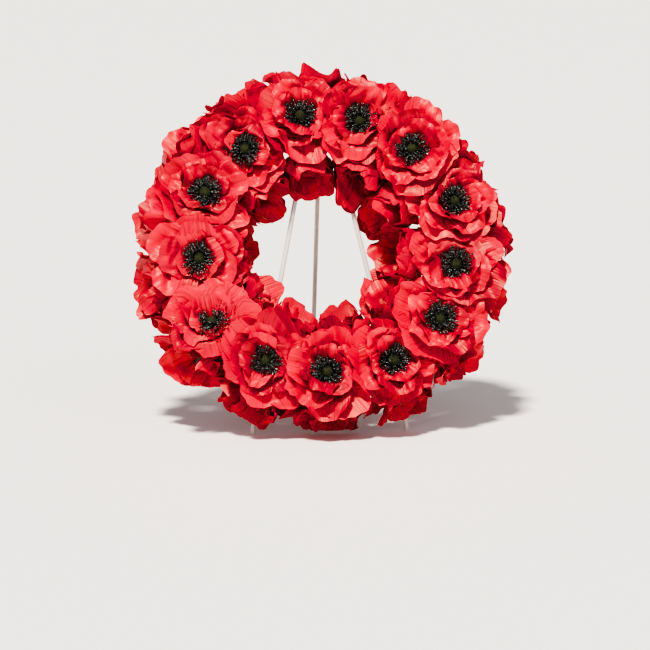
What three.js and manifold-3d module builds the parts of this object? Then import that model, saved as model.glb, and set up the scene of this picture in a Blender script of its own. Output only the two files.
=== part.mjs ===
// Poppy wreath on its wire easel, in millimetres, +Z up, facing -Y.
// Three rings of fabric poppy heads are wired by their stems to a welded wire frame, which leans back on two
// hooks of a welded wire tripod. The origin is on the surface that it stands on, in the middle of its box.
import * as THREE from "three";
import { mergeVertices } from "three/addons/utils/BufferGeometryUtils.js";
import Module from "manifold-3d";

// Driving dimensions
const WREATH_LEAN = 20; // degrees that the wreath leans back from upright
const WREATH_Y = -20.7;
const WREATH_Z = 180; // height of the wreath's centre above the surface
const EASEL_LEAN = 17.5; // degrees that the easel's front legs lean back
const EASEL_LENGTH = 318; // along a front leg, from its foot's bend to the top of the crown
const REAR_LEAN = 16; // degrees that the rear leg leans forward
const FOOT_HALF_SPREAD = 78;
const CROWN_HALF_WIDTH = 12;
const FOOT_HEIGHT = 5; // of each leg's upright end
const EASEL_WIRE = 2.4; // radius
const FRAME_WIRE = 1.75; // radius
const FRAME_TIES = 8;
const CLEARANCE = 0.4; // between solids that touch in the real wreath
const STEM_GAP = 0.9; // from a stem's end to its wire, whose flats come nearer than a round wire does
const FLOOR_CLEARANCE = 3;
const BACK_LIMIT = 38; // how far the heads may reach behind the middle of the wreath

// The three rings of heads. wire is the frame's ring that they are tied to, as its radius and its height in
// front of the wreath's middle plane. reach is from that wire to where the petals meet the stem. out is the
// turn from facing forward to facing away from the wreath's centre, and sway how far it varies by hand.
const HEAD_RINGS = {
  front: { count: 13, start: -12, wire: [131, 4], reach: 17, out: 2, sway: 7 },
  outer: { count: 14, start: 0, wire: [141, -9], reach: 14, out: 78, sway: 5 },
  inner: { count: 10, start: 24, wire: [114, -9], reach: 13, out: -68, sway: 5 },
};

// A head of each ring: the radius and height of its bowl's rim, and its petals.
const HEAD_SHAPES = {
  front: { radius: 47, depth: 25, lobes: 5 },
  outer: { radius: 44, depth: 25, lobes: 5 },
  inner: { radius: 37, depth: 27, lobes: 4 },
};
const NODDING_HEAD = 9; // the head of the front ring that has slipped and nods outwards
const NODDING_TURN = 34;
const HEART_HEIGHT = 12; // from a head's base to the middle of its bowl
const CENTRE_RADIUS = 14.5;
const CENTRE_TOP = 19;
const BOWL_FLOOR = 4;

const PETALS = new THREE.MeshStandardMaterial({ color: 0xd8202e, roughness: 0.75, metalness: 0 });
const STAMENS = new THREE.MeshStandardMaterial({ color: 0x161c16, roughness: 0.35, metalness: 0 });
const GREEN_WIRE = new THREE.MeshStandardMaterial({ color: 0x1d3d28, roughness: 0.5, metalness: 0 });
const WHITE_WIRE = new THREE.MeshStandardMaterial({ color: 0xece6e0, roughness: 0.35, metalness: 0 });

const radians = THREE.MathUtils.degToRad;
const wasm = await Module();
wasm.setup();

// A closed geometry as a manifold-3d solid, and back.
function solidOf(geometry) {
  const bare = geometry.clone();
  bare.deleteAttribute("normal");
  bare.deleteAttribute("uv");
  const merged = mergeVertices(bare, 1e-4);
  return new wasm.Manifold(
    new wasm.Mesh({
      numProp: 3,
      vertProperties: merged.attributes.position.array,
      triVerts: new Uint32Array(merged.index.array),
    }),
  );
}

function geometryOf(solid) {
  const mesh = solid.getMesh();
  const geometry = new THREE.BufferGeometry();
  geometry.setAttribute("position", new THREE.BufferAttribute(mesh.vertProperties, 3));
  geometry.setIndex(new THREE.BufferAttribute(mesh.triVerts, 1));
  return geometry;
}

function joined(geometries) {
  return geometryOf(geometries.map(solidOf).reduce((whole, next) => whole.add(next)));
}

// The wreath's own frame: X to the right, Y up the leaning wreath, Z out of its front.
const wreath = new THREE.Group();
wreath.position.set(0, WREATH_Y, WREATH_Z);
wreath.rotation.x = Math.PI / 2 - radians(WREATH_LEAN);
wreath.updateMatrixWorld();

// A point of the wreath's frame, from a clock angle seen from the front, a radius and a height.
function onWreath(clock, radius, height) {
  return new THREE.Vector3(radius * Math.sin(radians(clock)), radius * Math.cos(radians(clock)), height);
}

// The frame's outer ring, at its top, just touches the easel's front legs, which sets where their feet are.
const [outerRadius, outerHeight] = HEAD_RINGS.outer.wire;
const ringBack = onWreath(0, outerRadius, outerHeight - FRAME_WIRE - CLEARANCE);
ringBack.applyMatrix4(wreath.matrixWorld);
const legLean = radians(EASEL_LEAN);
const footLine = ringBack.y + EASEL_WIRE / Math.cos(legLean) - (ringBack.z - FOOT_HEIGHT) * Math.tan(legLean);

// A point of the front legs' plane, from its place across it and its distance up the legs.
const upLegs = new THREE.Vector3(0, Math.sin(legLean), Math.cos(legLean));
function onLegs(x, along) {
  return new THREE.Vector3(x, footLine, FOOT_HEIGHT).addScaledVector(upLegs, along);
}

// A head's frame in the wreath's: Z the way the head faces, Y at first away from the wreath's centre, and
// the origin where the petals meet the stem. The head is turned about the wire that it is tied to.
function headMatrix(clock, { wire, reach }, out, side) {
  const matrix = new THREE.Matrix4().makeRotationZ(-radians(clock));
  matrix.multiply(new THREE.Matrix4().makeTranslation(0, ...wire));
  matrix.multiply(new THREE.Matrix4().makeRotationX(-radians(out)));
  matrix.multiply(new THREE.Matrix4().makeRotationY(radians(side)));
  return matrix.multiply(new THREE.Matrix4().makeTranslation(0, 0, reach));
}

function headsOf(ring) {
  const place = HEAD_RINGS[ring];
  return Array.from({ length: place.count }, (_, i) => {
    const nod = ring === "front" && i === NODDING_HEAD ? NODDING_TURN : 0;
    const out = place.out + nod + place.sway * Math.sin(2.4 * i + 1);
    const side = place.sway * Math.cos(1.7 * i);
    const matrix = headMatrix(place.start + (360 / place.count) * i, place, out, side);
    return {
      ...HEAD_SHAPES[ring],
      ring,
      number: i,
      matrix,
      name: `${ring}_${String(i + 1).padStart(2, "0")}`,
      stem: place.reach - FRAME_WIRE - STEM_GAP,
      heart: new THREE.Vector3(0, 0, HEART_HEIGHT).applyMatrix4(matrix),
    };
  });
}
const heads = ["front", "outer", "inner"].flatMap(headsOf);

// The easel's two hooks pass between the lowest outer head and its neighbours.
const LOWEST_OUTER = HEAD_RINGS.outer.count / 2;
const HOOK_CLOCK = 180 / HEAD_RINGS.outer.count;
const holdsHook = (a, b) =>
  a.ring === "outer" &&
  b.ring === "outer" &&
  (a.number === LOWEST_OUTER || b.number === LOWEST_OUTER) &&
  Math.abs(a.number - b.number) === 1;

// The planes that a head stays behind, in its own frame: halfway to each neighbour, the surface that the
// wreath stands on, the back of the wreath and, for a head beside the easel's front legs, their front.
function cellOf(head) {
  const toHead = head.matrix.clone().invert();
  const planes = [];
  for (const other of heads) {
    const away = other.heart.clone().sub(head.heart);
    if (other === head || away.length() > 2.2 * head.radius) continue;
    const gap = holdsHook(head, other) ? EASEL_WIRE + CLEARANCE : CLEARANCE / 2;
    const middle = head.heart.clone().addScaledVector(away, 0.5);
    away.normalize();
    planes.push(new THREE.Plane().setFromNormalAndCoplanarPoint(away, middle.addScaledVector(away, -gap)));
  }
  planes.push(new THREE.Plane(new THREE.Vector3(0, 0, -1), -BACK_LIMIT));
  const toWreath = wreath.matrixWorld.clone().invert();
  planes.push(new THREE.Plane(new THREE.Vector3(0, 0, -1), FLOOR_CLEARANCE).applyMatrix4(toWreath));
  const crownTop = onLegs(0, EASEL_LENGTH);
  const { x, z } = head.heart.clone().applyMatrix4(wreath.matrixWorld);
  const legX = THREE.MathUtils.lerp(FOOT_HALF_SPREAD, CROWN_HALF_WIDTH, z / crownTop.z);
  if (z < crownTop.z && Math.abs(x) - head.radius < legX) {
    const back = new THREE.Vector3(0, Math.cos(legLean), -Math.sin(legLean));
    const legs = new THREE.Plane().setFromNormalAndCoplanarPoint(back, crownTop);
    legs.constant += EASEL_WIRE + CLEARANCE;
    planes.push(legs.applyMatrix4(toWreath));
  }
  return planes.map((plane) => plane.applyMatrix4(toHead));
}

// Moves a point of a head to stay inside the planes by an inset. A petal that is pressed in from the sides
// rises instead.
const PRESSES = 24;
const PETAL_RISE = 0.45; // of what it is pressed in by
function press(point, planes, inset, rise) {
  const excess = (plane) => plane.distanceToPoint(point) + inset;
  point.z += rise * Math.max(0, ...planes.map(excess));
  for (let pass = 0; pass < PRESSES; pass++)
    for (const plane of planes) point.addScaledVector(plane.normal, -Math.max(0, excess(plane)));
  return point;
}

// A closed skin over rings of points that all have the same count, from the first pole to the last. Past the
// rim its facets are split the other way, so that the two faces of the wall run side by side.
function skin(firstPole, rings, rim, lastPole) {
  const count = rings[0].length;
  const points = [firstPole, ...rings.flat(), lastPole];
  const index = [];
  for (let i = 0; i < count; i++) {
    const next = (i + 1) % count;
    index.push(0, 1 + i, 1 + next);
    for (let r = 0; r < rings.length - 1; r++) {
      const [a, b] = [1 + r * count + i, 1 + r * count + next];
      if (r < rim) index.push(a, a + count, b, b, a + count, b + count);
      else index.push(a, a + count, b + count, a, b + count, b);
    }
    const last = 1 + (rings.length - 1) * count;
    index.push(points.length - 1, last + next, last + i);
  }
  return new THREE.BufferGeometry().setFromPoints(points).setIndex(index);
}

// A poppy head: a bowl of wide petals, notched between them, over a calyx and a stem that ends at the frame.
// Heads without a centre of their own node have its dome in the middle of the bowl.
const SAMPLES = 3; // points round the rim of each petal: the notch and two shoulders
const NOTCH = 0.8; // of the rim's radius
const WALL = 4;
const CALYX_RADIUS = 5;
const STEM_RADIUS = 2;
function headGeometry(head, withCentre) {
  const planes = cellOf(head);
  const { radius, depth, stem } = head;
  const twist = 1.2 * head.number;
  const ringAt = (reach, height, { notched = 0, wave = 0, inset = 0, rise = 0 } = {}) =>
    Array.from({ length: head.lobes * SAMPLES }, (_, i) => {
      const angle = (2 * Math.PI * i) / (head.lobes * SAMPLES) + twist;
      const notch = i % SAMPLES ? 1 : 1 - (1 - NOTCH) * notched;
      const ruffle = 1 + wave * Math.sin(2.7 * i + 5 * head.number);
      const point = new THREE.Vector3(Math.cos(angle), Math.sin(angle), 0).multiplyScalar(reach * notch);
      return press(point.setZ(height * ruffle), planes, inset, rise);
    });
  const bowl = ringAt(0.6 * radius, 0.34 * depth, { notched: 0.3, inset: WALL, rise: PETAL_RISE });
  const under = bowl.map((point) => point.clone().add(new THREE.Vector3(0, 0, -1.5 * WALL)));
  const rim = ringAt(radius, depth, { notched: 1, wave: 0.14, rise: PETAL_RISE });
  const rings = [
    ringAt(CENTRE_RADIUS - 1.5, BOWL_FLOOR, { inset: 1.5 * WALL }),
    bowl,
    rim,
    under.map((point) => press(point, planes, 0, 0)),
    ringAt(CALYX_RADIUS, -CALYX_RADIUS),
    ringAt(STEM_RADIUS, -stem),
  ];
  if (withCentre) rings.unshift(ringAt(CENTRE_RADIUS - 2, 0.8 * CENTRE_TOP, { inset: 2 * WALL }));
  const front = new THREE.Vector3(0, 0, withCentre ? CENTRE_TOP : BOWL_FLOOR - 1);
  return skin(front, rings, rings.indexOf(rim), new THREE.Vector3(0, 0, -stem));
}

// The centre of a head: a tuft of stamens, wider at the top, round a low dome.
const CENTRE_SIDES = 8;
function centreGeometry() {
  const profile = [
    [0, BOWL_FLOOR + CLEARANCE],
    [10, BOWL_FLOOR + CLEARANCE],
    [CENTRE_RADIUS, 0.7 * CENTRE_TOP],
    [0.6 * CENTRE_RADIUS, CENTRE_TOP],
    [0, 0.93 * CENTRE_TOP],
  ].map(([x, y]) => new THREE.Vector2(x, y));
  return new THREE.LatheGeometry(profile, CENTRE_SIDES).rotateX(Math.PI / 2);
}

// A wire bent through its points: the path of an extrusion whose steps fall on those points.
class BentWire extends THREE.Curve {
  constructor(points) {
    super();
    this.points = points;
  }
  getPointAt(u) {
    return this.points[Math.round(u * (this.points.length - 1))].clone();
  }
  getTangentAt(u) {
    const i = Math.round(u * (this.points.length - 1));
    const before = this.points[Math.max(0, i - 1)];
    const after = this.points[Math.min(this.points.length - 1, i + 1)];
    return after.clone().sub(before).normalize();
  }
}

// The same points with each inner corner rounded off over a distance either side.
const BEND_STEPS = 4;
function rounded(corners, distance) {
  const points = [corners[0]];
  for (let i = 1; i < corners.length - 1; i++) {
    const [before, corner, after] = corners.slice(i - 1, i + 2);
    const start = corner.clone().add(before.clone().sub(corner).setLength(distance));
    const end = corner.clone().add(after.clone().sub(corner).setLength(distance));
    points.push(...new THREE.QuadraticBezierCurve3(start, corner, end).getPoints(BEND_STEPS));
  }
  return [...points, corners.at(-1)];
}

function wire(points, radius, sides) {
  const section = new THREE.Shape(
    Array.from({ length: sides }, (_, i) => {
      const angle = (2 * Math.PI * (i + 0.5)) / sides;
      return new THREE.Vector2(radius * Math.cos(angle), radius * Math.sin(angle));
    }),
  );
  return new THREE.ExtrudeGeometry(section, { steps: points.length - 1, extrudePath: new BentWire(points) });
}

// The wreath's frame: three wire rings, tied by bent wires welded across them.
const RING_STEPS = 32;
const FRAME_SIDES = 4;
function frameGeometry() {
  const wires = [HEAD_RINGS.inner, HEAD_RINGS.front, HEAD_RINGS.outer].map((ring) => ring.wire);
  const rings = wires.map(([radius, height]) =>
    new THREE.TorusGeometry(radius, FRAME_WIRE, FRAME_SIDES, RING_STEPS).translate(0, 0, height),
  );
  const ties = Array.from({ length: FRAME_TIES }, (_, i) => {
    const clock = (360 * (i + 0.5)) / FRAME_TIES;
    const corners = wires.map(([radius, height]) => onWreath(clock, radius, height));
    return wire(corners, 0.75 * FRAME_WIRE, FRAME_SIDES);
  });
  return joined([...rings, ...ties]);
}

// The easel: one wire bent over at the crown for both front legs, a crossbar with two hooks, and a rear leg
// welded behind the crown. Each leg's end is turned upright and cut off flat on the surface.
const EASEL_SIDES = 8;
const CROWN_STEPS = 6;
const FOOT_BEND = 2;
const CROSSBAR_ALONG = 42;
const HOOK_RISE = 11;
const HOOK_BEND = 3;

function leg(top, foot) {
  return rounded([top, foot, foot.clone().setZ(0)], FOOT_BEND);
}

function frontLegs() {
  const crownMiddle = EASEL_LENGTH - CROWN_HALF_WIDTH;
  const crown = Array.from({ length: CROWN_STEPS + 1 }, (_, i) => {
    const angle = Math.PI - (Math.PI * i) / CROWN_STEPS;
    return onLegs(CROWN_HALF_WIDTH * Math.cos(angle), crownMiddle + CROWN_HALF_WIDTH * Math.sin(angle));
  });
  const left = leg(crown[0], onLegs(-FOOT_HALF_SPREAD, 0)).reverse();
  const right = leg(crown.at(-1), onLegs(FOOT_HALF_SPREAD, 0));
  return wire([...left, ...crown.slice(1, -1), ...right], EASEL_WIRE, EASEL_SIDES);
}

function crossbar() {
  const along = CROSSBAR_ALONG / (EASEL_LENGTH - CROWN_HALF_WIDTH);
  const halfWidth = THREE.MathUtils.lerp(FOOT_HALF_SPREAD, CROWN_HALF_WIDTH, along);
  const ends = [-halfWidth, halfWidth].map((x) => onLegs(x, CROSSBAR_ALONG));
  return wire(ends, EASEL_WIRE, EASEL_SIDES);
}

// A hook comes forward from the crossbar under the frame's outer ring and turns up in front of it.
function hook(clock) {
  const held = onWreath(clock, outerRadius, outerHeight).applyMatrix4(wreath.matrixWorld);
  const reach = FRAME_WIRE + CLEARANCE + EASEL_WIRE;
  const under = held.clone().add(new THREE.Vector3(0, -reach, -reach));
  const tip = under.clone().add(new THREE.Vector3(0, 0, HOOK_RISE));
  return wire(rounded([onLegs(held.x, CROSSBAR_ALONG), under, tip], HOOK_BEND), EASEL_WIRE, EASEL_SIDES);
}

function rearLeg() {
  const crownTop = onLegs(0, EASEL_LENGTH);
  const back = (crownTop.z - FOOT_HEIGHT) * Math.tan(radians(REAR_LEAN));
  const foot = new THREE.Vector3(0, crownTop.y + back, FOOT_HEIGHT);
  return wire(leg(crownTop, foot), EASEL_WIRE, EASEL_SIDES);
}

function easelGeometry() {
  return joined([frontLegs(), crossbar(), hook(180 - HOOK_CLOCK), hook(180 + HOOK_CLOCK), rearLeg()]);
}

function addMesh(parent, name, geometry, material, matrix) {
  const mesh = new THREE.Mesh(geometry, material);
  mesh.name = name;
  if (matrix) matrix.decompose(mesh.position, mesh.quaternion, mesh.scale);
  parent.add(mesh);
}

for (const head of heads) {
  const ownCentre = head.ring === "front";
  addMesh(wreath, `poppy_${head.name}`, headGeometry(head, !ownCentre), PETALS, head.matrix);
  if (ownCentre) addMesh(wreath, `stamens_${head.name}`, centreGeometry(), STAMENS, head.matrix);
}
addMesh(wreath, "wire_frame", frameGeometry(), GREEN_WIRE);

const poppyWreath = new THREE.Group();
poppyWreath.add(wreath);
addMesh(poppyWreath, "wire_easel", easelGeometry(), WHITE_WIRE);

export default poppyWreath;
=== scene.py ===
import math

import bpy
import numpy as np
from mathutils import Matrix, Vector


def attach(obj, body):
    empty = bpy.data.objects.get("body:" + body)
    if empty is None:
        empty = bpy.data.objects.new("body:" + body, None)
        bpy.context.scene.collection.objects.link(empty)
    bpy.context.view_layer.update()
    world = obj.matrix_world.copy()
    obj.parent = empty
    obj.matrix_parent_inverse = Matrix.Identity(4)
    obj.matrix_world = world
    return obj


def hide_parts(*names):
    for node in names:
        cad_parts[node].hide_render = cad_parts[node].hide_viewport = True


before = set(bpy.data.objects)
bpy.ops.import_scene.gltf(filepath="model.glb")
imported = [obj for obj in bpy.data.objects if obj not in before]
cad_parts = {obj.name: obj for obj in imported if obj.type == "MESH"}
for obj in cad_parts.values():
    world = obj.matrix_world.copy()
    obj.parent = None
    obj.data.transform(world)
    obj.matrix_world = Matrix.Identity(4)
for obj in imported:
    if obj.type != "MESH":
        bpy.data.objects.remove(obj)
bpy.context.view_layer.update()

# ---------------------------------------------------------------------------------------------------------
# The camera stands 2.86 m away, a little to the left, and looks 10 degrees down at the wreath.
# ---------------------------------------------------------------------------------------------------------
CAMERA_AWAY = 2.857
CAMERA_ROUND = math.radians(-6.0)
CAMERA_HEIGHT = 0.594
CAMERA_TURN = math.radians(-6.02)
CAMERA_DOWN = math.radians(9.81)
LENS = 157
SENSOR_WIDTH = 36
FARTHEST_SEEN = 100

camera_data = bpy.data.cameras.new("camera")
camera_data.lens = LENS
camera_data.sensor_width = SENSOR_WIDTH
camera_data.clip_end = FARTHEST_SEEN
camera = bpy.data.objects.new("camera", camera_data)
camera.location = (
    CAMERA_AWAY * math.sin(CAMERA_ROUND),
    -CAMERA_AWAY * math.cos(CAMERA_ROUND),
    CAMERA_HEIGHT,
)
camera.rotation_euler = (math.pi / 2 - CAMERA_DOWN, 0, CAMERA_TURN)
bpy.context.scene.collection.objects.link(camera)
bpy.context.scene.camera = camera

# ---------------------------------------------------------------------------------------------------------
# A pale studio: an even floor out to the horizon, a key light from high up in front and a little to the
# left, a broad weak one from the front right, and white light from all round. None of it is the object's.
# ---------------------------------------------------------------------------------------------------------
SKY_LIGHT = 0.3
SKY_SEEN = 1.2
FLOOR_RADIUS = 25


def linear(hex_colour):
    """The linear RGBA of an sRGB hex colour."""
    shares = [int(hex_colour[i : i + 2], 16) / 255 for i in (0, 2, 4)]
    return [c / 12.92 if c <= 0.04045 else ((c + 0.055) / 1.055) ** 2.4 for c in shares] + [1.0]


def add_node(tree, kind, settings=None, links=None):
    """Adds a node, sets its properties and inputs, and links its other inputs to nodes' outputs."""
    node = tree.nodes.new(kind)
    for name, value in (settings or {}).items():
        if hasattr(node, str(name)):
            setattr(node, name, value)
        else:
            node.inputs[name].default_value = value
    for name, output in (links or {}).items():
        tree.links.new(output, node.inputs[name])
    return node


def new_material(name):
    """A node material, as the material, its tree and the tree's Principled BSDF."""
    material = bpy.data.materials.new(name)
    material.use_nodes = True
    tree = material.node_tree
    return material, tree, tree.nodes["Principled BSDF"]


def add_light(name, energy, colour, size, turn):
    """A distant lamp of that colour and angular size, turned from straight down."""
    data = bpy.data.lights.new(name, "SUN")
    data.energy = energy
    data.color = linear(colour)[:3]
    data.angle = math.radians(size)
    lamp = bpy.data.objects.new(name, data)
    lamp.rotation_euler = [math.radians(angle) for angle in turn]
    bpy.context.scene.collection.objects.link(lamp)


add_light("key", 4.3, "FFFAF0", 7, (28, -12, 0))
add_light("fill", 0.62, "F4F8FF", 80, (65, 45, 0))

sky = bpy.data.worlds.new("studio")
sky.use_nodes = True
# it lights the object weakly, and is as pale as the floor where it is seen past the horizon
seen = add_node(sky.node_tree, "ShaderNodeLightPath").outputs["Is Camera Ray"]
strength = add_node(
    sky.node_tree, "ShaderNodeMapRange", {"To Min": SKY_LIGHT, "To Max": SKY_SEEN}, {"Value": seen}
)
background = sky.node_tree.nodes["Background"]
background.inputs["Color"].default_value = (1, 1, 1, 1)
sky.node_tree.links.new(strength.outputs["Result"], background.inputs["Strength"])
bpy.context.scene.world = sky
bpy.context.scene.view_settings.view_transform = "AgX"
bpy.context.scene.view_settings.look = "AgX - Very High Contrast"

bpy.ops.object.select_all(action="DESELECT")
bpy.ops.mesh.primitive_circle_add(vertices=96, radius=FLOOR_RADIUS, fill_type="NGON")
floor = bpy.context.object
floor.name = "floor"
painted_floor, tree, surface = new_material("matt_white_floor_paint")
surface.inputs["Base Color"].default_value = linear("F4F1EF")
surface.inputs["Roughness"].default_value = 0.7
floor.data.materials.append(painted_floor)

# ---------------------------------------------------------------------------------------------------------
# The wreath's frame is three rings of 3.5 mm steel wire, tied by eight bent wires that are welded across
# them, all dipped in dark green paint. It leans back on the easel.
# ---------------------------------------------------------------------------------------------------------
# Sizes are in millimetres from here on, and MM turns them to metres.
MM = 0.001
WREATH_LEAN = math.radians(20)
WREATH_PLACE = Vector((0, -20.7, 180))
FRAME_WIRE = 1.75
FRAME_TIES = 8
RING_STATIONS = 144
# how much larger than the wire a bead of weld is
TIE_WELD = 1.35
# each ring's radius, and its height out of the front of the wreath's middle plane
WIRE_RINGS = {"front": (131, 4), "outer": (141, -9), "inner": (114, -9)}

# The wreath's own frame, in millimetres: X to the right, Y up the leaning wreath, Z out of its front.
wreath = Matrix.Translation(WREATH_PLACE) @ Matrix.Rotation(math.pi / 2 - WREATH_LEAN, 4, "X")


def on_wreath(clock, radius, height):
    """A point of the wreath's frame, from a clock angle in degrees, a radius and a height."""
    angle = math.radians(clock)
    return Vector((radius * math.sin(angle), radius * math.cos(angle), height))


def deselect():
    bpy.ops.object.select_all(action="DESELECT")


def select_only(piece):
    deselect()
    piece.select_set(True)
    bpy.context.view_layer.objects.active = piece


def place_points(piece, points):
    """Moves a piece's points to these places, in metres, and leaves the piece itself at the origin."""
    piece.location = (0, 0, 0)
    piece.rotation_euler = (0, 0, 0)
    piece.scale = (1, 1, 1)
    piece.data.vertices.foreach_set("co", np.asarray(points, np.float32).ravel())
    piece.data.update()


def through(matrix, points):
    """Points in a matrix's frame, as an array, taken out of it."""
    m = np.array(matrix)
    return np.asarray(points) @ m[:3, :3].T + m[:3, 3]


def wire_sections(stations, radius, sides):
    """The rings of points square to a wire along its stations, one after another without twisting."""
    stations = [Vector(s) for s in stations]
    last = len(stations) - 1
    along = (stations[1] - stations[0]).normalized()
    across = along.orthogonal().normalized()
    points = []
    for i, station in enumerate(stations):
        before = (station - stations[max(0, i - 1)]).normalized() if i else along
        after = (stations[min(last, i + 1)] - station).normalized() if i < last else before
        middle = (before + after).normalized()
        across = (across - middle * across.dot(middle)).normalized()
        side = middle.cross(across)
        # wider at a bend, so that the wire keeps its thickness there
        widened = radius / math.sqrt(max(0.6, middle.dot(before)))
        for k in range(sides):
            angle = 2 * math.pi * k / sides
            points.append(station + widened * (math.cos(angle) * across + math.sin(angle) * side))
    return points


def bent_wire(name, stations, radius, sides=14):
    """A round wire: a disc extruded once for each station, each ring then set square to the bend."""
    deselect()
    bpy.ops.mesh.primitive_circle_add(vertices=sides, radius=radius * MM, fill_type="NGON")
    piece = bpy.context.object
    piece.name = name
    bpy.ops.object.mode_set(mode="EDIT")
    for _ in stations[1:]:
        bpy.ops.mesh.extrude_region_move(TRANSFORM_OT_translate={"value": (0, 0, radius * MM)})
    bpy.ops.object.mode_set(mode="OBJECT")
    place_points(piece, np.array(wire_sections(stations, radius, sides)) * MM)
    select_only(piece)
    bpy.ops.object.mode_set(mode="EDIT")
    bpy.ops.mesh.select_all(action="SELECT")
    bpy.ops.mesh.normals_make_consistent(inside=False)
    bpy.ops.object.mode_set(mode="OBJECT")
    bpy.ops.object.shade_smooth_by_angle(angle=math.radians(50))
    return piece


def join_pieces(name, pieces):
    select_only(pieces[0])
    for piece in pieces:
        piece.select_set(True)
    bpy.ops.object.join()
    joined = bpy.context.object
    joined.name = name
    joined.data.name = name
    return joined


def finish_piece(piece, material, slot, *nodes):
    """Gives a finished piece its material, says what it rides on and hides the parts that it stands for; the
    slot is not used.
    """
    piece.data.materials.clear()
    piece.data.materials.append(material)
    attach(piece, "root")
    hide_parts(*nodes)


def spaced(size):
    """The scale at which a pattern on Object coordinates has marks of this size, in millimetres."""
    return 1 / (size * MM)


# Green paint, dipped: an even, half-gloss coat, with faint patches of 17 mm and an orange peel of 1.1 mm.
dipped_green, tree, surface = new_material("dipped_green_paint_on_steel")
place = add_node(tree, "ShaderNodeTexCoord").outputs["Object"]
patches = add_node(
    tree, "ShaderNodeTexNoise", {"Scale": spaced(16.67), "Detail": 3.0}, {"Vector": place}
)
shade = add_node(tree, "ShaderNodeValToRGB", links={"Fac": patches.outputs["Fac"]})
shade.color_ramp.elements[0].color = linear("14301E")
shade.color_ramp.elements[1].color = linear("26492F")
peel = add_node(tree, "ShaderNodeTexNoise", {"Scale": spaced(1.111)}, {"Vector": place})
bump = add_node(
    tree, "ShaderNodeBump", {"Strength": 0.2, "Distance": 0.0003}, {"Height": peel.outputs["Fac"]}
)
tree.links.new(shade.outputs["Color"], surface.inputs["Base Color"])
tree.links.new(bump.outputs["Normal"], surface.inputs["Normal"])
surface.inputs["Roughness"].default_value = 0.42

for ring, (radius, height) in WIRE_RINGS.items():
    deselect()
    bpy.ops.mesh.primitive_torus_add(
        major_segments=RING_STATIONS, minor_segments=10, major_radius=radius, minor_radius=FRAME_WIRE
    )
    piece = bpy.context.object
    piece.name = f"frame_ring_{ring}"
    points = np.array([v.co for v in piece.data.vertices]) + (0, 0, height)
    place_points(piece, through(wreath, points) * MM)
    select_only(piece)
    bpy.ops.object.shade_smooth()
    finish_piece(piece, dipped_green, "frame_wire", "wire_frame")


def weld_bead(middle, size):
    """A weld between two wires: a bead of run metal of that radius, with a lumpy skin."""
    deselect()
    bpy.ops.mesh.primitive_uv_sphere_add(segments=14, ring_count=9, radius=1)
    bead = bpy.context.object
    points = np.array([v.co for v in bead.data.vertices])
    lumps = 1 + 0.08 * np.sin(5 * points[:, 0] + middle.x) * np.cos(4 * points[:, 2] + middle.z)
    place_points(bead, (points * lumps[:, None] * size + np.array(middle)) * MM)
    bpy.ops.object.shade_smooth()
    return bead


ties = []
for i in range(FRAME_TIES):
    clock = 360 * (i + 0.5) / FRAME_TIES
    corners = [wreath @ on_wreath(clock, *WIRE_RINGS[ring]) for ring in ("inner", "front", "outer")]
    ties.append(bent_wire("tie", corners, 0.75 * FRAME_WIRE, 10))
    ties += [weld_bead(corner, TIE_WELD * FRAME_WIRE) for corner in corners]
finish_piece(join_pieces("frame_ties", ties), dipped_green, "frame_wire", "wire_frame")

# ---------------------------------------------------------------------------------------------------------
# The easel is bent from 4.8 mm steel wire and powder-coated white: one wire makes both front legs and the
# crown between them, a crossbar welded across it carries two hooks, and a rear leg is welded behind.
# ---------------------------------------------------------------------------------------------------------
EASEL_LEAN = math.radians(17.5)
EASEL_LENGTH = 318
REAR_LEAN = math.radians(16)
FOOT_HALF_SPREAD = 78
CROWN_HALF_WIDTH = 12
FOOT_HEIGHT = 5
FOOT_BEND = 2
EASEL_WIRE = 2.4
CROSSBAR_ALONG = 42
HOOK_RISE = 11
HOOK_BEND = 3
HOOK_CLOCK = 180 / 14
HOOK_WELD = 1.25
BAR_WELD = 1.3
CLEARANCE = 0.4

outer_radius, outer_height = WIRE_RINGS["outer"]
ring_back = wreath @ on_wreath(0, outer_radius, outer_height - FRAME_WIRE - CLEARANCE)
foot_line = (
    ring_back.y + EASEL_WIRE / math.cos(EASEL_LEAN) - (ring_back.z - FOOT_HEIGHT) * math.tan(EASEL_LEAN)
)


def on_legs(x, along):
    """A point of the front legs' plane, from its place across it and its distance up the legs."""
    up = Vector((0, math.sin(EASEL_LEAN), math.cos(EASEL_LEAN)))
    return Vector((x, foot_line, FOOT_HEIGHT)) + up * along


def rounded(corners, distance, steps=5):
    """The corners of a wire with each inner one rounded off over a distance on both sides."""
    points = [corners[0]]
    for before, corner, after in zip(corners, corners[1:], corners[2:]):
        start = corner + (before - corner).normalized() * distance
        end = corner + (after - corner).normalized() * distance
        for k in range(steps + 1):
            t = k / steps
            points.append(start * (1 - t) ** 2 + corner * 2 * t * (1 - t) + end * t**2)
    return points + [corners[-1]]


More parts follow.
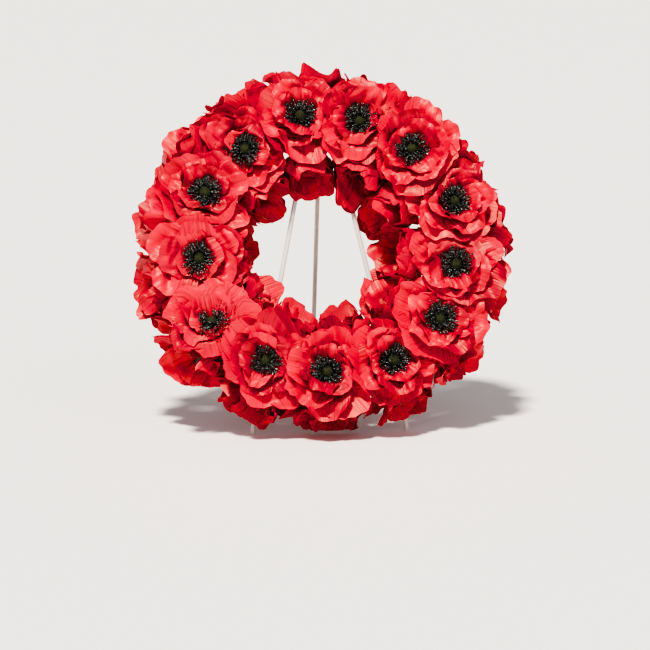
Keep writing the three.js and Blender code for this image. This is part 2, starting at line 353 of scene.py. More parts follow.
# White powder coat: a thick, half-gloss skin over the wire, toned in patches of 40 mm and slightly pebbled.
powder_coat, tree, surface = new_material("white_powder_coat_on_steel")
place = add_node(tree, "ShaderNodeTexCoord").outputs["Object"]
patches = add_node(tree, "ShaderNodeTexNoise", {"Scale": spaced(40), "Detail": 4.0}, {"Vector": place})
shade = add_node(tree, "ShaderNodeValToRGB", links={"Fac": patches.outputs["Fac"]})
# painted shade: both ends of the ramp are set greyer than the white coat, for legs that stand in the wreath's
# shadow
shade.color_ramp.elements[0].color = linear("CBC2BB")
shade.color_ramp.elements[1].color = linear("E4DCD6")
pebble = add_node(tree, "ShaderNodeTexNoise", {"Scale": spaced(0.8333)}, {"Vector": place})
bump = add_node(
    tree, "ShaderNodeBump", {"Strength": 0.15, "Distance": 0.0003}, {"Height": pebble.outputs["Fac"]}
)
tree.links.new(shade.outputs["Color"], surface.inputs["Base Color"])
tree.links.new(bump.outputs["Normal"], surface.inputs["Normal"])
surface.inputs["Roughness"].default_value = 0.38


def leg(top, foot):
    """A leg's corners from its top to its foot, whose end is bent upright to stand flat."""
    return rounded([top, foot, Vector((foot.x, foot.y, 0))], FOOT_BEND)


crown_along = EASEL_LENGTH - CROWN_HALF_WIDTH
crown = [
    on_legs(-CROWN_HALF_WIDTH * math.cos(turn), crown_along + CROWN_HALF_WIDTH * math.sin(turn))
    for turn in np.linspace(0, math.pi, 15)
]
left = leg(crown[0], on_legs(-FOOT_HALF_SPREAD, 0))[::-1]
right = leg(crown[-1], on_legs(FOOT_HALF_SPREAD, 0))
front_legs = bent_wire("easel_front_legs", left[:-1] + crown + right[1:], EASEL_WIRE, 16)
finish_piece(front_legs, powder_coat, "easel_wire", "wire_easel")

share = CROSSBAR_ALONG / crown_along
bar_half = FOOT_HALF_SPREAD + (CROWN_HALF_WIDTH - FOOT_HALF_SPREAD) * share
bar_stations = [on_legs(bar_half * s, CROSSBAR_ALONG) for s in (-1, -0.98, 0, 0.98, 1)]
bar = [bent_wire("bar", bar_stations, EASEL_WIRE, 16)]
for side in (-1, 1):
    held = wreath @ on_wreath(180 + side * HOOK_CLOCK, outer_radius, outer_height)
    reach = FRAME_WIRE + CLEARANCE + EASEL_WIRE
    under = held + Vector((0, -reach, -reach))
    tip = under + Vector((0, 0, HOOK_RISE))
    hook = rounded([on_legs(held.x, CROSSBAR_ALONG), under, tip], HOOK_BEND)
    bar.append(bent_wire("hook", hook, EASEL_WIRE, 16))
    bar.append(weld_bead(on_legs(held.x, CROSSBAR_ALONG), HOOK_WELD * EASEL_WIRE))
    bar.append(weld_bead(on_legs(side * bar_half, CROSSBAR_ALONG), BAR_WELD * EASEL_WIRE))
finish_piece(join_pieces("easel_crossbar", bar), powder_coat, "easel_wire", "wire_easel")

crown_top = on_legs(0, EASEL_LENGTH)
rear_foot = Vector((0, crown_top.y + (crown_top.z - FOOT_HEIGHT) * math.tan(REAR_LEAN), FOOT_HEIGHT))
rear_leg = bent_wire("easel_rear_leg", leg(crown_top, rear_foot), EASEL_WIRE, 16)
finish_piece(rear_leg, powder_coat, "easel_wire", "wire_easel")

# ---------------------------------------------------------------------------------------------------------
# The stems: each of the 37 heads sits in a moulded green calyx on a short wired stem, which is bent along
# its ring and bound to it with dark green florist's tape, wound on right round the ring.
# ---------------------------------------------------------------------------------------------------------
# For each ring: how many heads it has, the clock angle of the first, how far the heads' feet stand off the
# wire, how far they lean out from the wreath's front and how far that sways, in degrees, and their radius.
HEAD_RINGS = {
    "front": {"count": 13, "start": -12, "reach": 17, "out": 2, "sway": 7, "radius": 47},
    "outer": {"count": 14, "start": 0, "reach": 14, "out": 78, "sway": 5, "radius": 44},
    "inner": {"count": 10, "start": 24, "reach": 13, "out": -68, "sway": 5, "radius": 37},
}
# One head of the front ring, counted from 0, has turned up and away on its stem.
NODDING_HEAD = 9
NODDING_TURN = math.radians(38)
NODDING_ROLL = math.radians(-18)
NODDING_SHUT = 12
NODDING_SHIFT = Vector((-13, -3, 0))
# how high over its foot the middle of a head is
HEART_HEIGHT = 12
# How large each head was made, clockwise from the first, as a share of its ring's usual size.
GROWN = {
    "front": (1.0,) * 13,
    "outer": (1.05, 1.02, 1.02, 1.09, 1.1, 0.94, 0.89, 0.93, 1.04, 1.15, 1.11, 1.23, 1.16, 1.12),
    "inner": (1.22, 1.34, 1.4, 1.12, 1.0, 1.07, 0.88, 0.98, 1.1, 1.15),
}
# How far shut the heads of the inner ring are, in degrees.
INNER_SHUT = (8, 12, 4, 8, 10, 4, 0, -4, 0, 6)

heads = []
for ring, made in HEAD_RINGS.items():
    for i in range(made["count"]):
        out = math.radians(made["out"] + made["sway"] * math.sin(2.4 * i + 1))
        side = math.radians(made["sway"] * math.cos(1.7 * i))
        clock = math.radians(made["start"] + 360 / made["count"] * i)
        radius, height = WIRE_RINGS[ring]
        matrix = (
            Matrix.Rotation(-clock, 4, "Z")
            @ Matrix.Translation((0, radius, height))
            @ Matrix.Rotation(-out, 4, "X")
            @ Matrix.Rotation(side, 4, "Y")
            @ Matrix.Translation((0, 0, made["reach"]))
        )
        nods = ring == "front" and i == NODDING_HEAD
        if nods:
            turn = Matrix.Rotation(-NODDING_TURN, 4, "X") @ Matrix.Rotation(NODDING_ROLL, 4, "Y")
            heart = Matrix.Translation(matrix @ Vector((0, 0, HEART_HEIGHT)))
            matrix = Matrix.Translation(NODDING_SHIFT) @ heart @ turn @ heart.inverted() @ matrix
        heads.append(
            {
                "ring": ring,
                "number": i,
                "name": f"{ring}_{i + 1:02d}",
                "matrix": wreath @ matrix,
                "radius": made["radius"],
                "reach": made["reach"],
                "clock": clock,
                "grown": GROWN[ring][i],
                "shut": INNER_SHUT[i] if ring == "inner" else NODDING_SHUT if nods else 0,
                "heart": wreath @ matrix @ Vector((0, 0, HEART_HEIGHT)),
                "faces": (wreath @ matrix).to_3x3() @ Vector((0, 0, 1)),
            }
        )

STEM = 1.5
STEM_LAID = (8, 16, 24)
STEM_BEND = 3.5
CALYX_LENGTH = 8.0
CALYX_FOOT = 2.3
CALYX_FLARE = 5.2
TAPE_RADIUS = 2.7
TAPE_PITCH = 8.5
TAPE_THICKNESS = 0.45

# Moulded polyethylene: a mid green, cloudy over 8 mm, with a waxy gloss.
calyx_plastic, tree, surface = new_material("moulded_green_polyethylene")
place = add_node(tree, "ShaderNodeTexCoord").outputs["Object"]
clouds = add_node(
    tree, "ShaderNodeTexNoise", {"Scale": spaced(7.69), "Detail": 2.0}, {"Vector": place}
)
shade = add_node(tree, "ShaderNodeValToRGB", links={"Fac": clouds.outputs["Fac"]})
shade.color_ramp.elements[0].color = linear("16301A")
shade.color_ramp.elements[1].color = linear("2E5230")
tree.links.new(shade.outputs["Color"], surface.inputs["Base Color"])
surface.inputs["Roughness"].default_value = 0.4

# Florist's tape: waxed crepe paper, dark green and dull, with crinkles 0.7 mm apart; its colour follows the
# crinkles, darker in their hollows as painted shade.
crepe_tape, tree, surface = new_material("waxed_green_crepe_tape")
place = add_node(tree, "ShaderNodeTexCoord").outputs["Object"]
crinkle_and_shade = add_node(
    tree, "ShaderNodeTexNoise", {"Scale": spaced(0.6667), "Detail": 3.0}, {"Vector": place}
)
shade = add_node(tree, "ShaderNodeValToRGB", links={"Fac": crinkle_and_shade.outputs["Fac"]})
shade.color_ramp.elements[0].color = linear("15301D")
shade.color_ramp.elements[1].color = linear("2E5438")
bump = add_node(
    tree, "ShaderNodeBump", {"Strength": 0.6, "Distance": 0.0004}, {"Height": crinkle_and_shade.outputs["Fac"]}
)
tree.links.new(shade.outputs["Color"], surface.inputs["Base Color"])
tree.links.new(bump.outputs["Normal"], surface.inputs["Normal"])
surface.inputs["Roughness"].default_value = 0.62


def calyx_of(head):
    """A cup with five blunt sepals, whose foot closes round the stem."""
    deselect()
    bpy.ops.mesh.primitive_uv_sphere_add(segments=20, ring_count=10, radius=1)
    cup = bpy.context.object
    points = np.array([v.co for v in cup.data.vertices])
    high = (points[:, 2] + 1) / 2
    around = np.arctan2(points[:, 1], points[:, 0])
    wide = CALYX_FOOT + CALYX_FLARE * high**1.6 * (1 + 0.22 * np.cos(5 * around) * high)
    made = np.stack([points[:, 0] * wide, points[:, 1] * wide, (high - 1) * CALYX_LENGTH], 1)
    place_points(cup, through(head["matrix"], made) * MM)
    bpy.ops.object.shade_smooth()
    return cup


def stem_of(head):
    """A stem from the calyx down to the ring, bent over and laid along it beside the wire."""
    radius, height = WIRE_RINGS[head["ring"]]
    way = 1 if head["number"] % 2 else -1
    beside = FRAME_WIRE + STEM
    corners = [head["matrix"] @ Vector((0, 0, 1 - CALYX_LENGTH))]
    for along in (0,) + STEM_LAID:
        clock = math.degrees(head["clock"] + way * along / radius)
        corners.append(wreath @ on_wreath(clock, radius + 0.5 * beside, height + 0.8 * beside))
    return bent_wire("stem", rounded(corners, STEM_BEND), STEM, 10)


for ring, (radius, height) in WIRE_RINGS.items():
    of_ring = [head for head in heads if head["ring"] == ring]
    nodes = [f"poppy_{head['name']}" for head in of_ring]
    calyxes = join_pieces(f"calyxes_{ring}", [calyx_of(head) for head in of_ring])
    finish_piece(calyxes, calyx_plastic, "frame_wire", *nodes)
    stems = join_pieces(f"stems_{ring}", [stem_of(head) for head in of_ring])
    finish_piece(stems, crepe_tape, "frame_wire", *nodes)

    deselect()
    bpy.ops.mesh.primitive_torus_add(
        major_segments=360, minor_segments=10, major_radius=radius, minor_radius=TAPE_RADIUS
    )
    tape = bpy.context.object
    tape.name = f"tape_{ring}"
    points = np.array([v.co for v in tape.data.vertices])
    around = np.arctan2(points[:, 1], points[:, 0])
    from_axis = np.hypot(points[:, 0], points[:, 1])
    about = np.arctan2(points[:, 2], from_axis - radius)
    # each turn of the tape steps up over the last, and the winding swells and thins round the ring
    turns = round(2 * math.pi * radius / TAPE_PITCH)
    lap = (turns * around / (2 * math.pi) + about / (2 * math.pi)) % 1
    swell = 0.4 * np.sin(7 * around + 1) + 0.3 * np.sin(19 * around)
    thick = TAPE_RADIUS + TAPE_THICKNESS * lap + swell
    out = radius + thick * np.cos(about)
    made = np.stack([out * np.cos(around), out * np.sin(around), height + thick * np.sin(about)], 1)
    place_points(tape, through(wreath, made) * MM)
    select_only(tape)
    bpy.ops.object.shade_smooth_by_angle(angle=math.radians(40))
    finish_piece(tape, crepe_tape, "frame_wire", "wire_frame")

# ---------------------------------------------------------------------------------------------------------
# The petals: dyed polyester satin, die-cut in three layers of four to six lobes, heat-pressed into cups with
# fine pleats and threaded onto the stem. The heads are set so close that the rims of their petals push
# against the next heads' and lap over or under them.
# ---------------------------------------------------------------------------------------------------------
# The layers of petals in a head of each ring, from the stamens outwards: the number of lobes, their length
# and width, the height at which they leave the stem, and how steeply they rise at the foot, a third of the
# way, two thirds of the way and the tip, in degrees.
LAYERS = {
    "front": [
        (4, 30, 35, 4.4, (20, 50, 38, 6)),
        (5, 39, 42, 2.4, (6, 32, 28, 2)),
        (6, 48, 47, 0.0, (-6, 8, 10, -12)),
    ],
    "outer": [
        (4, 32, 32, 4.0, (20, 56, 54, 34)),
        (5, 45, 44, 2.0, (8, 40, 38, 10)),
        (5, 56, 52, 0.2, (0, 16, 18, -8)),
    ],
    "inner": [
        (4, 30, 30, 4.0, (20, 58, 56, 40)),
        (4, 42, 42, 2.0, (14, 52, 50, 30)),
        (6, 50, 48, 0.2, (8, 32, 30, 10)),
    ],
}
GRID = {"front": (22, 18), "outer": (16, 14), "inner": (14, 12)}
CLOTH = 0.35
PETAL_FOOT = 3.5
FLOOR_CLEARANCE = 2.5
# Petals reach no further behind the wreath's middle plane than this.
BACK_LIMIT = 38
# Where two heads meet, petals start to crowd up this far short of the meeting face, and give way by a share.
CROWDED = 4.0
YIELD = 0.82
BACK_YIELD = 0.97
# How far the meeting face wanders, for each of its three waves.
WANDER = 2.2 / 1.5
# How much a crowded petal rises for each millimetre that it gives way, over a neighbour's, under it, at the
# back, and at the floor or the easel.
RISE_OVER = 0.15
RISE_UNDER = 0.05
RISE_BACK = 0.1
RISE_STOPPED = 0.3
FARTHEST_RISE = 25
# Heads further apart than this many radii don't meet.
MEETING = 2.3
# How far the meeting face leans, between two heads of a ring and between two rings.
LAP_TILT = {"front": math.radians(66), "outer": math.radians(42), "inner": math.radians(10)}
RING_TILT = math.radians(26)


def laps_over(head, other):
    """1 if the head's petals lie over the other's where they meet, and -1 if they lie under them."""
    if head["ring"] != other["ring"]:
        return 1 if (head["ring"] == "front") else -1 if other["ring"] == "front" else 0
    first, second = sorted((head["number"], other["number"]))
    count = HEAD_RINGS[head["ring"]]["count"]
    if (first, second) == (0, count - 1):
        first, second = second, first
    over = math.sin(12.9 * first + len(head["ring"]) + 0.7) > 0
    return 1 if over == (head["number"] == first) else -1


def cell_of(head):
    """The faces that a head's petals keep behind: normal, point, rise, where crowding starts, and yield."""
    planes = []
    for other in heads:
        away = other["heart"] - head["heart"]
        if other is head or away.length > MEETING * head["radius"]:
            continue
        middle = (other["heart"] + head["heart"]) / 2
        over = laps_over(head, other)
        facing = (head["faces"] + other["faces"]).normalized()
        tilt = LAP_TILT[head["ring"]] if head["ring"] == other["ring"] else RING_TILT
        normal = away.normalized() * math.cos(tilt) - facing * over * math.sin(tilt)
        planes.append((normal.normalized(), middle, RISE_OVER if over >= 0 else RISE_UNDER, CROWDED, YIELD))
    planes.append((Vector((0, 0, -1)), Vector((0, 0, FLOOR_CLEARANCE)), RISE_STOPPED, CROWDED, 1))
    wreath_back = (wreath.to_3x3() @ Vector((0, 0, -1))).normalized()
    limit = wreath @ Vector((0, 0, -BACK_LIMIT))
    planes.append((wreath_back, limit, RISE_BACK, 3 * CROWDED, BACK_YIELD))
    heart = head["heart"]
    leg_x = FOOT_HALF_SPREAD + (CROWN_HALF_WIDTH - FOOT_HALF_SPREAD) * heart.z / crown_top.z
    if heart.z < crown_top.z and abs(heart.x) - head["radius"] < leg_x:
        back = Vector((0, math.cos(EASEL_LEAN), -math.sin(EASEL_LEAN)))
        planes.append((back, crown_top - back * (EASEL_WIRE + CLEARANCE), RISE_STOPPED, CROWDED, 1))
    return planes


def wander(points):
    """A slow wave through space, in millimetres, that both heads of a pair bend their meeting face by."""
    x, y, z = points.T
    total = np.sin(x / 6.1 + z / 9 + 1) + np.sin(y / 7.3 - z / 6.7) + np.sin((x + y) / 8.9 + 2)
    return total * WANDER


def press(points, head, planes):
    """Petals that come near a face that they keep behind are crowded up short of it, and rise."""
    points = points.copy()
    faces = np.array(head["faces"])
    for normal, place, rise, reach, held in planes * 2:
        n = np.array(normal)
        inside = (np.array(place) - points) @ n
        if held < 1:
            sign = 1 if tuple(np.sign(np.round(n, 6))) > (0, 0, 0) else -1
            inside = inside - sign * wander(points)
        past = np.maximum(reach - inside, 0)
        kept = reach * reach / (reach + past)
        move = np.where(past > 0, (kept - inside) * held, 0)
        points -= move[:, None] * n
        points += (rise * np.minimum(move, FARTHEST_RISE))[:, None] * faces
    return points


def petal_blank(columns, rows):
    """A flat blank of cloth from a grid, as its places across, its places along and its faces."""
    deselect()
    bpy.ops.mesh.primitive_grid_add(x_subdivisions=columns, y_subdivisions=rows, size=2)
    blank = bpy.context.object
    flat = np.array([v.co for v in blank.data.vertices])
    faces = np.array([p.vertices[:] for p in blank.data.polygons])
    bpy.data.objects.remove(blank)
    return flat[:, 0], (flat[:, 1] + 1) / 2, faces


def waves(rng, along, counts, size):
    """A sum of waves with random phases, whose size falls as their count rises."""
    total = np.zeros_like(along)
    for count in counts:
        turn = rng.uniform(0, 2 * math.pi)
        total += np.sin(math.pi * count * rng.uniform(0.85, 1.15) * along + turn) * size / count**0.6
    return total


def pressed_petal(rng, u, v, length, width, rises):
    """A petal in its head's frame, along +X, pressed from its blank: its points and its cloth's places."""
    length = length * rng.uniform(0.84, 1.1)
    width = width * rng.uniform(0.88, 1.15)

    # the blank's outline: a round fan, with a softly lobed rim
    w = 2 * v - 1
    p, q = u * np.sqrt(1 - 0.46 * w * w), w * np.sqrt(1 - 0.46 * u * u)
    from_middle = np.minimum(np.hypot(p, q), 1.1)
    bearing = np.arctan2(p, q)
    lobes = rng.integers(2, 5)
    notched = np.abs(np.cos(lobes * (bearing - rng.uniform(-0.5, 0.5)) / 2)) ** 0.6 - 0.7
    rim = rng.uniform(0.05, 0.14) * notched + waves(rng, bearing, (0.7, 1.5, 3.4), 0.04)
    rim = rim * from_middle**5 * np.clip(0.6 + q, 0, 1)
    p, q = p + rim * np.sin(bearing), q + rim * np.cos(bearing)
    share = (q + 1) / 2
    fan = 0.3 + 0.7 * np.sin(np.clip(share / 0.62, 0, 1) * math.pi / 2)
    across = p * fan * width / 2
    along = length * share

    # the petal's middle line, stepped out along its rise
    steps = np.linspace(0, 1.2, 80)
    rises = np.add(rises, rng.uniform(-12, 12) + rng.uniform(-8, 8, 4))
    rise = np.interp(steps, (0, 0.33, 0.67, 1.0), rises)
    rise = np.convolve(np.pad(rise, 6, mode="edge"), np.ones(13) / 13, mode="valid")
    rise = np.radians(rise)
    step = length * (steps[1] - steps[0])
    reach = np.concatenate([[0], np.cumsum(np.cos(rise[:-1]) * step)])
    height = np.concatenate([[0], np.cumsum(np.sin(rise[:-1]) * step)])
    tilt = np.interp(share, steps, rise)

    # what stands off the middle line: the cup, the ruffled and rolled rim, soft creases and a twist
    outer = np.clip((from_middle - 0.45) / 0.55, 0, 1) * np.clip(share * 1.6, 0, 1)
    off = (across / (width / 2)) ** 2 * np.clip(share, 0, 1) * width * rng.uniform(0.16, 0.32)
    off += outer**2 * waves(rng, bearing, (0.9, 1.9), rng.uniform(1.6, 3.4))
    off += outer**3 * (rng.uniform(-3.0, 1.5) + waves(rng, bearing, (3.1, 5.3), 0.9))
    crease = rng.uniform(0, math.pi, 3)
    for turn, pitch, size in zip(crease, (17, 11, 7), (1.3, 0.75, 0.35)):
        there = (across * math.cos(turn) + along * math.sin(turn)) * 2 * math.pi / pitch
        off += size * np.sin(there + 9 * turn) * np.clip(share * 1.5, 0, 1)
    off += across * math.tan(math.radians(rng.uniform(-12, 12))) * share
    ridge = np.interp(p, np.linspace(-1.1, 1.1, 19), rng.normal(0, 0.8, 19))
    off += ridge * np.sin(math.pi * np.clip(share, 0, 1)) ** 0.7

    x = np.interp(share, steps, reach) - np.sin(tilt) * off + PETAL_FOOT
    z = np.interp(share, steps, height) + np.cos(tilt) * off
    y = across + share**2 * rng.uniform(-3, 3)
    cloth = np.stack([p * width / 2, along], 1)
    pressed = rng.uniform(0.5, 1.1) * (1 - 0.6 * np.clip(share, 0, 1) ** 1.5)
    return np.stack([x, y, z], 1), cloth, pressed


# Polyester satin, dyed poppy red: smooth floats of thread give it a soft broad gloss, and the press leaves
# pleats 2 mm apart and 50 mm long that run out from the foot of the petal. The "cloth" UV map is the cloth
# laid flat, 100 mm to a unit.
CLOTH_UNIT = 100
PLEAT_SPACING = 2.0
PLEAT_LENGTH = 50
PLEAT_DEPTH = 1.3
DYE_CLOUDS = 20
satin, tree, surface = new_material("dyed_polyester_satin")
cloth = add_node(tree, "ShaderNodeUVMap", {"uv_map": "cloth"}).outputs["UV"]
tone = add_node(tree, "ShaderNodeAttribute", {"attribute_name": "tone"}).outputs["Fac"]
pleat_place = add_node(tree, "ShaderNodeMapping", links={"Vector": cloth})
pleat_place.inputs["Scale"].default_value = (CLOTH_UNIT / PLEAT_SPACING, CLOTH_UNIT / PLEAT_LENGTH, 1)
pressed = add_node(tree, "ShaderNodeAttribute", {"attribute_name": "pressed"}).outputs["Fac"]
pleats = add_node(
    tree,
    "ShaderNodeTexNoise",
    {"noise_dimensions": "2D", "Scale": 1.0, "Detail": 2.0, "Roughness": 0.5, "Distortion": 0.2},
    {"Vector": pleat_place.outputs["Vector"]},
)
dye = add_node(
    tree, "ShaderNodeTexNoise", {"Scale": CLOTH_UNIT / DYE_CLOUDS, "Detail": 3.0}, {"Vector": cloth}
)
mottle = add_node(tree, "ShaderNodeMath", {"operation": "ADD"})
tree.links.new(tone, mottle.inputs[0])
tree.links.new(dye.outputs["Fac"], mottle.inputs[1])
shade = add_node(tree, "ShaderNodeValToRGB", links={"Fac": mottle.outputs["Value"]})
shade.color_ramp.elements[0].position = 0.32
shade.color_ramp.elements[0].color = linear("A20431")
shade.color_ramp.elements[1].position = 0.95
shade.color_ramp.elements[1].color = linear("E51C40")
depth = add_node(tree, "ShaderNodeMath", {"operation": "MULTIPLY"}, {0: pleats.outputs["Fac"], 1: pressed})
# the valleys of the pleats are painted darker: painted shade in the creases
low = add_node(tree, "ShaderNodeMath", {"operation": "SUBTRACT", 1: 0.5}, {0: pleats.outputs["Fac"]})
darkening = add_node(tree, "ShaderNodeMath", {"operation": "MULTIPLY"}, {0: low.outputs["Value"], 1: pressed})
painted_valley_shade = add_node(
    tree,
    "ShaderNodeMapRange",
    {"From Min": -0.12, "From Max": 0.0, "To Min": 0.66, "To Max": 1.0},
    {"Value": darkening.outputs["Value"]},
)
# painted shade: the colour is darker over the first 26 mm from the foot, down in the cup of the head
from_foot = add_node(tree, "ShaderNodeSeparateXYZ", links={"Vector": cloth}).outputs["Y"]
painted_foot_shade = add_node(
    tree,
    "ShaderNodeMapRange",
    {"From Min": 0.08, "From Max": 0.26, "To Min": 0.6, "To Max": 1.0},
    {"Value": from_foot},
)
# dyed is the painted shade of the pleats' valleys and of the foot together, which scales down the satin's
# colour
dyed = add_node(
    tree,
    "ShaderNodeMath",
    {"operation": "MULTIPLY"},
    {0: painted_valley_shade.outputs["Result"], 1: painted_foot_shade.outputs["Result"]},
)
pleated = add_node(
    tree,
    "ShaderNodeVectorMath",
    {"operation": "SCALE"},
    {0: shade.outputs["Color"], "Scale": dyed.outputs["Value"]},
)
bump = add_node(
    tree,
    "ShaderNodeBump",
    {"Strength": 1.0, "Distance": PLEAT_DEPTH * MM},
    {"Height": depth.outputs["Value"]},
)
tree.links.new(pleated.outputs["Vector"], surface.inputs["Base Color"])
tree.links.new(bump.outputs["Normal"], surface.inputs["Normal"])
surface.inputs["Roughness"].default_value = 0.42
surface.inputs["Specular IOR Level"].default_value = 0.6
surface.inputs["Subsurface Weight"].default_value = 0.12
surface.inputs["Subsurface Radius"].default_value = (1.2, 0.15, 0.25)
surface.inputs["Subsurface Scale"].default_value = MM
surface.inputs["Sheen Weight"].default_value = 0.08
surface.inputs["Sheen Roughness"].default_value = 0.3
surface.inputs["Sheen Tint"].default_value = linear("FFBC93")
surface.inputs["Specular Tint"].default_value = linear("FFCFA6")

blanks = {ring: petal_blank(*size) for ring, size in GRID.items()}


def petals_of(head):
    """The petals of one head as one mesh of thin closed shells, in their layers."""
    rng = np.random.default_rng(100 * len(head["ring"]) + 17 * head["number"] + ord(head["ring"][0]))
    u, v, faces = blanks[head["ring"]]
    points, cloths, tones, depths = [], [], [], []
    turn = rng.uniform(0, 2 * math.pi)
    for lobes, length, width, height, rises in LAYERS[head["ring"]]:
        turn += math.pi / lobes + rng.uniform(-0.2, 0.2)
        for k in range(lobes):
            size = (length * head["grown"], width * math.sqrt(head["grown"]))
            petal, cloth_place, pressed_depth = pressed_petal(rng, u, v, *size, np.add(rises, head["shut"]))
            angle = turn + 2 * math.pi * k / lobes + rng.uniform(-0.25, 0.25)
            lift = height + (0.9 if k % 2 else 0) + rng.uniform(-0.2, 0.2)
            matrix = Matrix.Translation((0, 0, lift)) @ Matrix.Rotation(angle, 4, "Z")
            points.append(through(matrix, petal))
            cloths.append(cloth_place / CLOTH_UNIT + (len(cloths) * 1.37 + head["number"] * 0.71, 0))
            tones.append(np.full(len(petal), rng.uniform(0, 0.6)))
            depths.append(pressed_depth)
    made = press(through(head["matrix"], np.concatenate(points)), head, cell_of(head)) * MM
    count = len(u)
    all_faces = np.concatenate([faces + k * count for k in range(len(points))])
    mesh = bpy.data.meshes.new(f"petals_{head['name']}")
    mesh.from_pydata(made.tolist(), [], all_faces.tolist())
    uv = mesh.uv_layers.new(name="cloth")
    corners = np.zeros(len(mesh.loops), np.int32)
    mesh.loops.foreach_get("vertex_index", corners)
    uv.data.foreach_set("uv", np.concatenate(cloths)[corners].astype(np.float32).ravel())
    for name, values in (("tone", tones), ("pressed", depths)):
        layer = mesh.attributes.new(name, "FLOAT", "POINT")
        layer.data.foreach_set("value", np.concatenate(values).astype(np.float32))
    piece = bpy.data.objects.new(mesh.name, mesh)
    bpy.context.scene.collection.objects.link(piece)
    select_only(piece)
    wall = piece.modifiers.new("cloth", "SOLIDIFY")
    wall.thickness = CLOTH * MM
    wall.offset = 0
    bpy.ops.object.modifier_apply(modifier="cloth")
    bpy.ops.object.shade_smooth_by_angle(angle=math.radians(75))
    return piece


for head in heads:
    finish_piece(petals_of(head), satin, "petals", f"poppy_{head['name']}")

# ---------------------------------------------------------------------------------------------------------
# The middle of a head is a moulded plastic tuft: a fuzzy olive button in rings of fine dark stamens, each
# with a glossy bead at its end.
# ---------------------------------------------------------------------------------------------------------
STAMENS = {"front": 160, "outer": 40, "inner": 40}
BEAD_LENGTH = 1.35
BUTTON_RADIUS = 5.6
BUTTON_FLATNESS = 0.85
BUTTON_HEIGHT = 10.5
FLOCK_TIPS = 90
GOLDEN_TURN = math.pi * (3 - math.sqrt(5))

# Moulded polyethylene, near black with a green cast, and wet-looking, with painted highlights: pale flecks of
# 1.5 mm are painted along the threads and beads as glints where they would catch the light.
stamen_plastic, tree, surface = new_material("moulded_black_green_plastic")
place = add_node(tree, "ShaderNodeTexCoord").outputs["Object"]
painted_glints = add_node(
    tree, "ShaderNodeTexNoise", {"Scale": spaced(1.5385), "Detail": 1.0}, {"Vector": place}
)
shade = add_node(tree, "ShaderNodeValToRGB", links={"Fac": painted_glints.outputs["Fac"]})
shade.color_ramp.elements[0].position = 0.5
shade.color_ramp.elements[0].color = linear("0B110F")
shade.color_ramp.elements[1].position = 0.68
shade.color_ramp.elements[1].color = linear("858F8B")
tree.links.new(shade.outputs["Color"], surface.inputs["Base Color"])
surface.inputs["Roughness"].default_value = 0.16
surface.inputs["Coat Weight"].default_value = 0.4
surface.inputs["Coat Roughness"].default_value = 0.1

# The button is flocked: dull olive fibres over green plastic, in tufts of 1.1 mm; the colour follows their
# height, painted lighter on their tops as painted highlight and darker between them as painted shade.
flock, tree, surface = new_material("olive_flocking")
place = add_node(tree, "ShaderNodeTexCoord").outputs["Object"]
fibre_and_shade = add_node(
    tree, "ShaderNodeTexNoise", {"Scale": spaced(1.111), "Detail": 3.0}, {"Vector": place}
)
shade = add_node(tree, "ShaderNodeValToRGB", links={"Fac": fibre_and_shade.outputs["Fac"]})
shade.color_ramp.elements[0].position = 0.3
shade.color_ramp.elements[0].color = linear("14170A")
shade.color_ramp.elements[1].position = 0.75
shade.color_ramp.elements[1].color = linear("4E5428")
bump = add_node(
    tree, "ShaderNodeBump", {"Strength": 0.8, "Distance": 0.0006}, {"Height": fibre_and_shade.outputs["Fac"]}
)
tree.links.new(shade.outputs["Color"], surface.inputs["Base Color"])
tree.links.new(bump.outputs["Normal"], surface.inputs["Normal"])
surface.inputs["Roughness"].default_value = 0.9
surface.inputs["Sheen Weight"].default_value = 0.15


def points_of(piece):
    """A piece's points as an array."""
    flat = np.zeros(len(piece.data.vertices) * 3, np.float32)
    piece.data.vertices.foreach_get("co", flat)
    return flat.reshape(-1, 3).astype(float)


# one stamen along +Z, a millimetre long and wide, as its parts: a thread and a bead
deselect()
bpy.ops.mesh.primitive_cylinder_add(vertices=5, radius=1, depth=1, location=(0, 0, 0), end_fill_type="NGON")
thread = bpy.context.object
bpy.ops.object.mode_set(mode="EDIT")
bpy.ops.mesh.select_all(action="SELECT")
bpy.ops.mesh.bisect(plane_co=(0, 0, 0.12), plane_no=(0, 0, 1))
bpy.ops.mesh.select_all(action="SELECT")
bpy.ops.mesh.bisect(plane_co=(0, 0, -0.2), plane_no=(0, 0, 1))
bpy.ops.object.mode_set(mode="OBJECT")
thread_points, thread_faces = points_of(thread), [tuple(p.vertices) for p in thread.data.polygons]
bpy.data.objects.remove(thread)
deselect()
bpy.ops.mesh.primitive_uv_sphere_add(segments=6, ring_count=4, radius=1)
bead = bpy.context.object
bead_points, bead_faces = points_of(bead), [tuple(p.vertices) for p in bead.data.polygons]
bpy.data.objects.remove(bead)
deselect()
bpy.ops.mesh.primitive_ico_sphere_add(subdivisions=2, radius=1)
button = bpy.context.object
button_points, button_faces = points_of(button), [tuple(p.vertices) for p in button.data.polygons]
bpy.data.objects.remove(button)

# where the tips of its flock stand, in the spiral of a seed head
flock_high = np.linspace(0.99, -0.1, FLOCK_TIPS)
flock_wide = np.sqrt(1 - flock_high**2)
flock_turn = np.arange(FLOCK_TIPS) * GOLDEN_TURN
flock_tips = np.stack([flock_wide * np.cos(flock_turn), flock_wide * np.sin(flock_turn), flock_high], 1)
button_size = BUTTON_RADIUS * np.array([1, 1, BUTTON_FLATNESS])


def stamen_line(t, out, top):
    """The bend of a stamen from the stem to its bead, as its reach and height at shares t of its length."""
    foot, knee, end = np.array([3.0, 5.0]), np.array([0.62 * out, 0.9 * top]), np.array([out, top])
    t = t[:, None]
    return foot * (1 - t) ** 2 + knee * 2 * t * (1 - t) + end * t**2


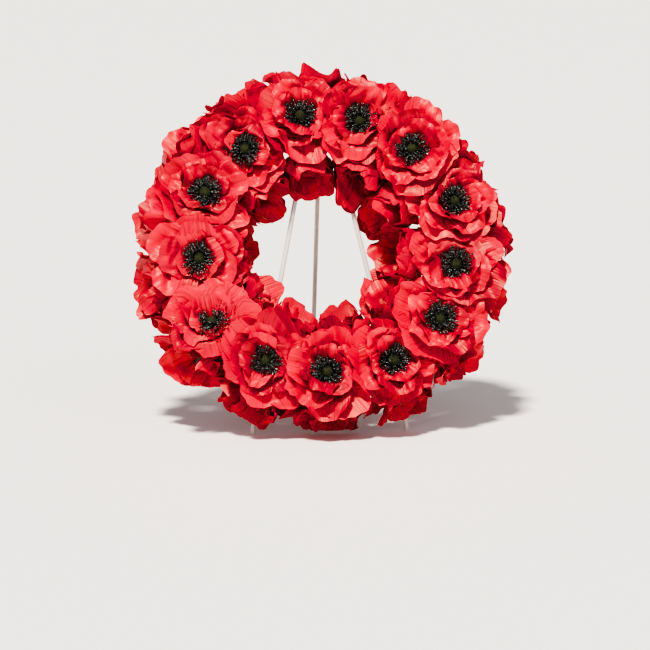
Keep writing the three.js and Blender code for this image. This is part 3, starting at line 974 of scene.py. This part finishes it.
def tuft_of(head):
    """The stamens and the button of one head, as one mesh with two materials."""
    rng = np.random.default_rng(500 + 31 * head["number"] + ord(head["ring"][0]))
    points, faces, button_of_face = [], [], []

    def add(made, made_faces, is_button):
        base = sum(len(p) for p in points)
        points.append(made)
        faces.extend(tuple(base + k for k in face) for face in made_faces)
        button_of_face.extend([is_button] * len(made_faces))

    total = STAMENS[head["ring"]]
    for i in range(total):
        share = (i + 0.5) / total
        out = 6.8 + 12.2 * share**0.75 + rng.uniform(-1.6, 1.6)
        top = 17.5 - 5.0 * share**2 + rng.uniform(-1.8, 1.8)
        angle = i * GOLDEN_TURN + rng.uniform(-0.16, 0.16)
        thick = rng.uniform(0.3, 0.45)
        line = stamen_line(thread_points[:, 2] + 0.5, out, top)
        along = np.stack([line[:, 0], np.zeros(len(line)), line[:, 1]], 1)
        made = along + thread_points * (thick, thick, 0)
        turned = Matrix.Rotation(angle, 4, "Z")
        add(through(turned, made), thread_faces, 0)
        size = rng.uniform(0.66, 1.04)
        tilt = Matrix.Rotation(angle, 4, "Z") @ Matrix.Translation((out, 0, top))
        tilt = tilt @ Matrix.Rotation(rng.uniform(0.2, 1.1), 4, "Y")
        add(through(tilt, bead_points * (size, size, BEAD_LENGTH * size)), bead_faces, 0)
    button_place = np.array([0, 0, BUTTON_HEIGHT])
    add(button_points * button_size + button_place, button_faces, 1)
    for tip in flock_tips if head["ring"] == "front" else flock_tips[::3]:
        turned = Vector(tip).to_track_quat("Z", "Y").to_matrix().to_4x4()
        size = rng.uniform(0.35, 0.6)
        long = rng.uniform(1.2, 2.6)
        made = through(turned, bead_points * (size, size, size * long))
        add(made + button_place + tip * button_size, bead_faces, 1)
    mesh = bpy.data.meshes.new(f"tuft_{head['name']}")
    made = through(head["matrix"], np.concatenate(points)) * MM
    mesh.from_pydata(made.tolist(), [], faces)
    piece = bpy.data.objects.new(mesh.name, mesh)
    bpy.context.scene.collection.objects.link(piece)
    select_only(piece)
    bpy.ops.object.shade_smooth_by_angle(angle=math.radians(80))
    node = f"stamens_{head['name']}" if head["ring"] == "front" else f"poppy_{head['name']}"
    finish_piece(piece, stamen_plastic, "stamens", node)
    piece.data.materials.append(flock)
    piece.data.polygons.foreach_set("material_index", np.array(button_of_face, np.int32))
    return piece


for head in heads:
    tuft_of(head)
